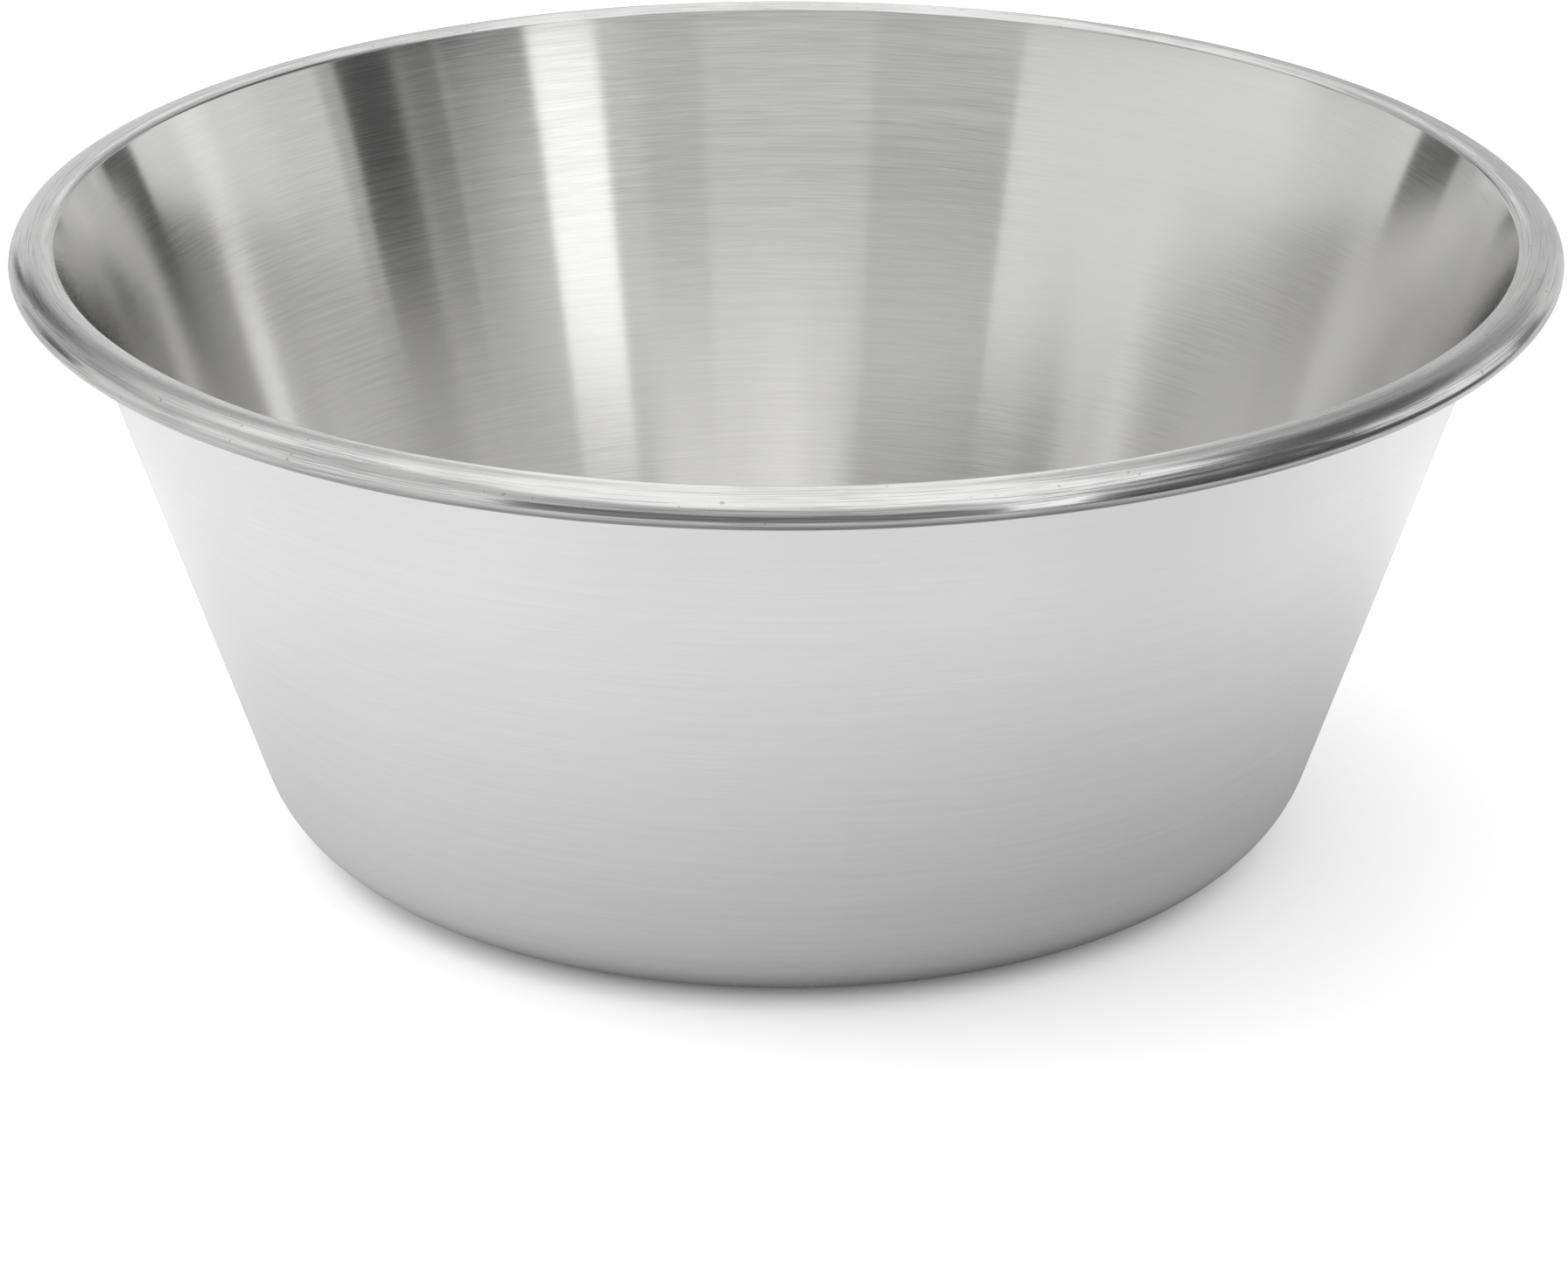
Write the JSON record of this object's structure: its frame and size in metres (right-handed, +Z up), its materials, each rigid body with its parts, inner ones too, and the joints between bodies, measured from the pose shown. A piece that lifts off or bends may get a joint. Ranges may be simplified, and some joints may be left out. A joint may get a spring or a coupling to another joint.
{
  "type": "mixing bowl",
  "caption": "Conical stainless steel mixing bowl with a flat base, a rounded knuckle, a straight flaring wall and a thick rolled rim.",
  "frame": {"origin": "middle of the underside of the floor, on the surface that the bowl stands on", "axes": "+Z up along the bowl's axis; X and Y are alike, because the bowl is round"},
  "size_m": [0.32, 0.32, 0.1313],
  "materials": {
    "bowl_steel": "stainless sheet, brushed round the axis inside, finer satin outside, scuffed on the bead",
    "wire_steel": "plain drawn wire"
  },
  "bodies": {
    "root": {"bowl_shell": "bowl_steel", "rim_wire": "wire_steel"}
  },
  "joints": []
}
